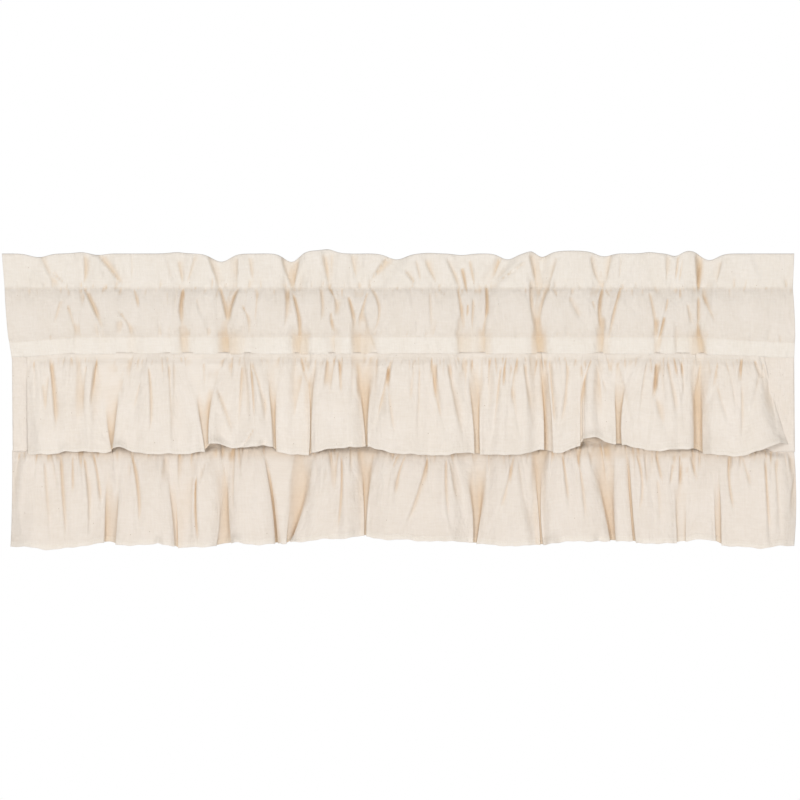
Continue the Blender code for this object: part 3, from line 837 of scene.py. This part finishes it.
def ruffle_places(flares, creases, curls, seam, seam_y, clearance, strip, puff, seed):
    """Rows and columns of places for a whole ruffle, and how far along its cut each column is."""
    edge = 0.9 - clearance
    hem_turns = flare_turns(flares, edge, 1)
    lengths = np.linalg.norm(np.diff(hem_turns[:, :2], axis=0), axis=1)
    run = np.concatenate(([0], np.cumsum(lengths)))
    along = np.linspace(0, run[-1], RUFFLE_COLUMNS + 1)
    segment = np.minimum(np.searchsorted(run, along, side="right") - 1, len(lengths) - 1)
    part = (along - run[segment]) / lengths[segment]
    shares = RUFFLE_SHARES
    path = np.array([smooth_path(flare_turns(flares, edge, share), segment, part) for share in shares])
    x, forward, hem = path[..., 0], path[..., 1], path[..., 2]
    share = shares[:, None]
    hem = hem + 0.7 * np.sin(x / 4.1 + seed) * np.sin(x / 13.7) + 0.8 * np.sin(x / 9.3 + 2 * seed)
    curled = [bell(x - curl.x, curl.width) * ramp(share, 0.88, 1) for curl in curls]
    hem = hem - sum(curl.up * turned for curl, turned in zip(curls, curled))
    top = seam(x)
    down = top + (hem - top) * share
    ripple = 1.6 * np.sin(x / 11.3 + seed) + 1.3 * np.sin(x / 17.9 + down / 60 + 2 * seed)
    ripple += 0.8 * np.sin(x / 5.3 + down / 90 + seed) * np.sin(x / 37)
    inner = ramp(np.minimum(along, along[-1] - along), 0, 30)
    out = share**SWELL * (forward + clearance + ripple * share * inner)
    below = down - top - strip
    # The gathered cloth puffs out just under its stitch, but not at its two side edges.
    out += puff * inner * ramp(below, 0, 9) * ramp(below, 110, 9)
    out += sum(curl.out * turned for curl, turned in zip(curls, curled))
    pressed = creased(x, below, gathers(*RUFFLE_SPAN, 8, 24, 1.5, seed), 0.9)
    pressed += creased(x, below, gathers(*RUFFLE_SPAN, 20, 80, 1.4, 10 + seed), 1.2)
    pressed += creased(x, below, gathers(*RUFFLE_SPAN, 44, 130, 1.8, 30 + seed), 1.0)
    pressed += creased(x, down, creases, 0.7, 0.85, 0.65)
    # No crease goes deeper than the room behind the cloth.
    room = 0.5 + np.maximum(out, 0)
    y = seam_y(x) - out + np.where(pressed > 0, room * np.tanh(pressed / room), pressed)
    # The hem is three layers thick, and its stitch draws it in.
    above_hem = hem - down
    y -= 0.8 * ramp(above_hem, HEM + 0.8, HEM) - 0.8 * bell(above_hem - HEM_STITCH, 0.9)
    return x, y, down, along


def hemmed(down, backing):
    """How far the cloth is doubled: as the backing says, and fully in the hem."""
    return backing + (1 - backing) * ramp(down[-1:] - down, HEM + 1.5, HEM - 0.5)


# Rows lie closer together in the gathers and in the hem.
gathered_part = np.linspace(0, 0.24, GATHERED_ROWS)
falling_part = np.linspace(0.24, 0.93, FALLING_ROWS + 1)[1:]
hem_part = np.linspace(0.93, 1, HEM_ROWS + 1)[1:]
RUFFLE_SHARES = np.concatenate((gathered_part, falling_part, hem_part))


def upper_seam(x):
    """The ruffle's raw edge is tucked up behind the band."""
    return band_edge(x) - 3


def upper_seam_y(x):
    return panel_y(x, BAND_BOTTOM) + 0.7


upper = ruffle_places(
    UPPER_FLARES,
    UPPER_CREASES,
    UPPER_CURLS,
    upper_seam,
    upper_seam_y,
    clearance=PANEL_CLEARANCE,
    strip=SEAM_STRIP,
    puff=UPPER_PUFF,
    seed=1,
)
upper_backed = hemmed(upper[2], 0.5)
# The painted fold shade is made lighter towards the hem, as light gets into the valleys from below.
painted_hem_light = -0.25 * ramp(RUFFLE_SHARES, 0.45, 1)[:, None]
upper_ruffle = woven_sheet(
    "upper_ruffle_cloth", *upper, RUFFLE_CUT * RUFFLE_SHARES, upper_backed, painted_hem_light, VALLEY_STEP
)
upper_ruffle.data.materials.append(ruffle_muslin)
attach(upper_ruffle, "root")
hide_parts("upper_ruffle")
seam_line = sewn_line(*upper[:3], upper[2][0] + SEAM_STRIP)
upper_hem_line = sewn_line(*upper[:3], upper[2][-1] - HEM_STITCH)
upper_sewing = stitches("upper_ruffle_stitches", (seam_line, upper_hem_line))
upper_flat = (upper[3][-1] * MILLIMETRE, RUFFLE_CUT * MILLIMETRE)


# Lower ruffle
# The second tier, made as the first and gathered onto the back panel's lower edge. It runs the
# whole width, and its free hem is the valance's lower edge.
LOWER_STRIP = 2.0
LOWER_PUFF = 6.5
LOWER_FLARES = (
    Flare(-540, -540, -542, -416, -411, -411, 19, 6, 20, 0, 4, 4, 408, 411, 402),
    Flare(-386, -390, -395, -333, -320, -313, 19, 8, 7, 8, 2, 7, 405, 405, 406),
    Flare(-311, -310, -308, -270, -252, -255, 12, 12, 8, 1, 5, 5, 409, 409, 406),
    Flare(-233, -238, -234, -194, -180, -173, 20, 7, 11, 8, 3, 3, 405, 404, 404),
    Flare(-186, -176, -169, -140, -152, -157, 10, 5, 5, 1, 1, 4, 404, 405, 405),
    Flare(-120, -130, -152, -60, -51, -49, 20, 8, 11, 10, 7, 0, 404, 397, 393),
    Flare(-30, -42, -46, 77, 98, 102, 22, 11, 16, 8, 8, 0, 394, 399, 401),
    Flare(122, 117, 107, 181, 191, 196, 19, 7, 16, 8, 4, 1, 404, 406, 406),
    Flare(206, 197, 200, 258, 279, 293, 19, 8, 14, 5, 4, 1, 405, 400, 401),
    Flare(300, 298, 301, 315, 319, 325, 13, 5, 5, 3, 3, 3, 401, 400, 399),
    Flare(320, 323, 329, 373, 382, 386, 16, 8, 11, 4, 5, 8, 402, 404, 402),
    Flare(404, 401, 398, 433, 437, 440, 14, 12, 7, 0, 3, 8, 400, 398, 399),
    Flare(445, 447, 448, 550, 553, 550, 18, 11, 6, 5, 0, 0, 406, 409, 407),
)
LOWER_CREASES = (
    Crease(-494, 288, -483, 407, -1, 2, 4, 4),
    Crease(-472, 281, -461, 411, -1, 3, 3, 5.5),
    Crease(-455, 281, -454, 338, 0, 2.5, 3, 3),
    Crease(-440, 281, -432, 402, 4, 3, 3, 5.5),
    Crease(-426, 281, -415, 352, 1, 3, 3, 3),
    Crease(-373, 281, -362, 387, 4, 3.5, 2, 5.5),
    Crease(-268, 291, -277, 325, 0, -2, 4, 4),
    Crease(-283, 312, -279, 407, -3, 5, 2, 2),
    Crease(-101, 297, -112, 393, 0, 2, 7, 7),
    Crease(-81, 283, -88, 400, 3, 2.5, 3, 3),
    Crease(-3, 281, -12, 304, 0, 2, 3, 3),
    Crease(8, 281, -6, 338, -3, 2.5, 3.5, 3.5),
    Crease(40, 281, 3, 393, 3, 3, 3, 5.5),
    Crease(65, 284, 74, 393, -4, 2.5, 4, 4),
    Crease(70, 288, 81, 345, 0, 2, 3.5, 3.5),
    Crease(159, 281, 138, 366, 1, 2.5, 4, 4),
    Crease(167, 287, 191, 402, -4, 3, 8.5, 8.5),
    Crease(227, 283, 236, 352, 0, 2.5, 3, 3),
    Crease(248, 281, 261, 387, 1, 2.5, 4, 4),
    Crease(330, 281, 329, 373, 8, 2.5, 3.5, 3.5),
    Crease(341, 281, 345, 325, 0, 2.5, 3, 3),
    Crease(357, 281, 366, 320, 0, 2.5, 3, 3),
    Crease(359, 312, 365, 387, 0, 2, 5.5, 5.5),
    Crease(382, 281, 376, 325, 0, 2.5, 2, 2),
    Crease(390, 281, 391, 327, 0, 2.5, 2, 2),
    Crease(397, 281, 404, 318, 0, 2.5, 2, 2),
    Crease(405, 281, 414, 315, 0, 2.5, 2, 2),
    Crease(458, 283, 468, 366, -4, 2.5, 3, 3),
    Crease(477, 283, 491, 332, 0, 2, 3.5, 3.5),
    Crease(508, 284, 515, 407, 0, 3, 3, 3),
    Crease(522, 283, 529, 394, 1, 2, 4, 4),
)
LOWER_CURLS = (
    Curl(-335, 5, 5, 3),
    Curl(-228, 10, 7, 3),
    Curl(-151, 7, 6, 4),
    Curl(210, 9, 7, 1.5),
    Curl(277, 7, -6, 2),
)


def lower_seam(x):
    """The gathered edge is tucked up behind the panel's lower edge."""
    return panel_edge(x) - 2


def lower_seam_y(x):
    return panel_y(x, BAND_BOTTOM) + PANEL_BEHIND + 0.7


lower = ruffle_places(
    LOWER_FLARES,
    LOWER_CREASES,
    LOWER_CURLS,
    lower_seam,
    lower_seam_y,
    clearance=0,
    strip=LOWER_STRIP,
    puff=LOWER_PUFF,
    seed=2,
)
# Painted shadow on the cloth right under the upper ruffle's hem, which keeps some light from it.
painted_hem_shadow = 0.3 * bell(np.maximum(lower[2] - LOWER_SEAM, 0), 8) * ramp(np.abs(lower[0]), 525, 505)
lower_backed = hemmed(lower[2], 0.0)
lower_painted_shade = painted_hem_shadow + painted_hem_light
lower_ruffle = woven_sheet(
    "lower_ruffle_cloth", *lower, RUFFLE_CUT * RUFFLE_SHARES, lower_backed, lower_painted_shade, VALLEY_STEP
)
lower_ruffle.data.materials.append(ruffle_muslin)
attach(lower_ruffle, "root")
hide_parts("lower_ruffle")
lower_hem_line = sewn_line(*lower[:3], lower[2][-1] - HEM_STITCH)
lower_sewing = stitches("lower_ruffle_stitches", (lower_hem_line,))
lower_flat = (lower[3][-1] * MILLIMETRE, RUFFLE_CUT * MILLIMETRE)


# Room
# A pale floor well below the valance, soft even light with a little more of it from the upper
# left, and a long lens straight in front of the middle of the valance.
FLOOR_DOWN = 1600.0
bpy.ops.mesh.primitive_plane_add(size=5, location=(0, 0, -FLOOR_DOWN * MILLIMETRE))
floor = bpy.context.object
floor.name = "floor"
paint = bpy.data.materials.new("pale_floor")
paint.use_nodes = True
paint.node_tree.nodes["Principled BSDF"].inputs["Base Color"].default_value = (0.85, 0.85, 0.85, 1)
floor.data.materials.append(paint)

world = bpy.data.worlds.new("white_room")
world.use_nodes = True
bpy.context.scene.world = world
sky = world.node_tree
sky.nodes.clear()
seen = sky.nodes.new("ShaderNodeBackground")
seen.inputs["Color"].default_value = (1, 1, 1, 1)
lighting = sky.nodes.new("ShaderNodeBackground")
lighting.inputs["Color"].default_value = (1, 0.975, 0.94, 1)
lighting.inputs["Strength"].default_value = 0.45
ray = sky.nodes.new("ShaderNodeLightPath")
either = sky.nodes.new("ShaderNodeMixShader")
output = sky.nodes.new("ShaderNodeOutputWorld")
sky.links.new(ray.outputs["Is Camera Ray"], either.inputs[0])
sky.links.new(lighting.outputs[0], either.inputs[1])
sky.links.new(seen.outputs[0], either.inputs[2])
sky.links.new(either.outputs[0], output.inputs[0])


def soft_box(name, place, aim, size, watts):
    """A square studio light, turned towards the point that it lights."""
    light = bpy.data.lights.new(name, "AREA")
    light.size = size
    light.energy = watts
    holder = bpy.data.objects.new(name, light)
    bpy.context.collection.objects.link(holder)
    holder.location = place
    holder.rotation_euler = (Vector(aim) - Vector(place)).to_track_quat("-Z", "Y").to_euler()


soft_box("key_light", (-2.4, -5.0, 0.1), (0, 0, -0.2), 1.6, 108)
soft_box("fill_light", (2.4, -4.8, -0.9), (0, 0, -0.2), 1.4, 86)
soft_box("back_light", (-1.6, 4.6, 0.6), (0, 0, -0.2), 2.4, 60)

# The frame is 800 units wide and takes in 1.39 mm of the valance's front for each of them.
PHOTO_WIDTH = 800
VIEW_SCALE = 1.39
CAMERA_DISTANCE = 5.0
SENSOR = 36.0
camera_data = bpy.data.cameras.new("camera")
camera_data.sensor_width = SENSOR
camera_data.lens = SENSOR * CAMERA_DISTANCE / (PHOTO_WIDTH * VIEW_SCALE * MILLIMETRE)
camera = bpy.data.objects.new("camera", camera_data)
bpy.context.collection.objects.link(camera)
camera.location = (0.0007, -CAMERA_DISTANCE - 0.015, -0.2036)
camera.rotation_euler = (math.pi / 2, 0, 0)
bpy.context.scene.camera = camera
bpy.context.scene.view_settings.view_transform = "Standard"
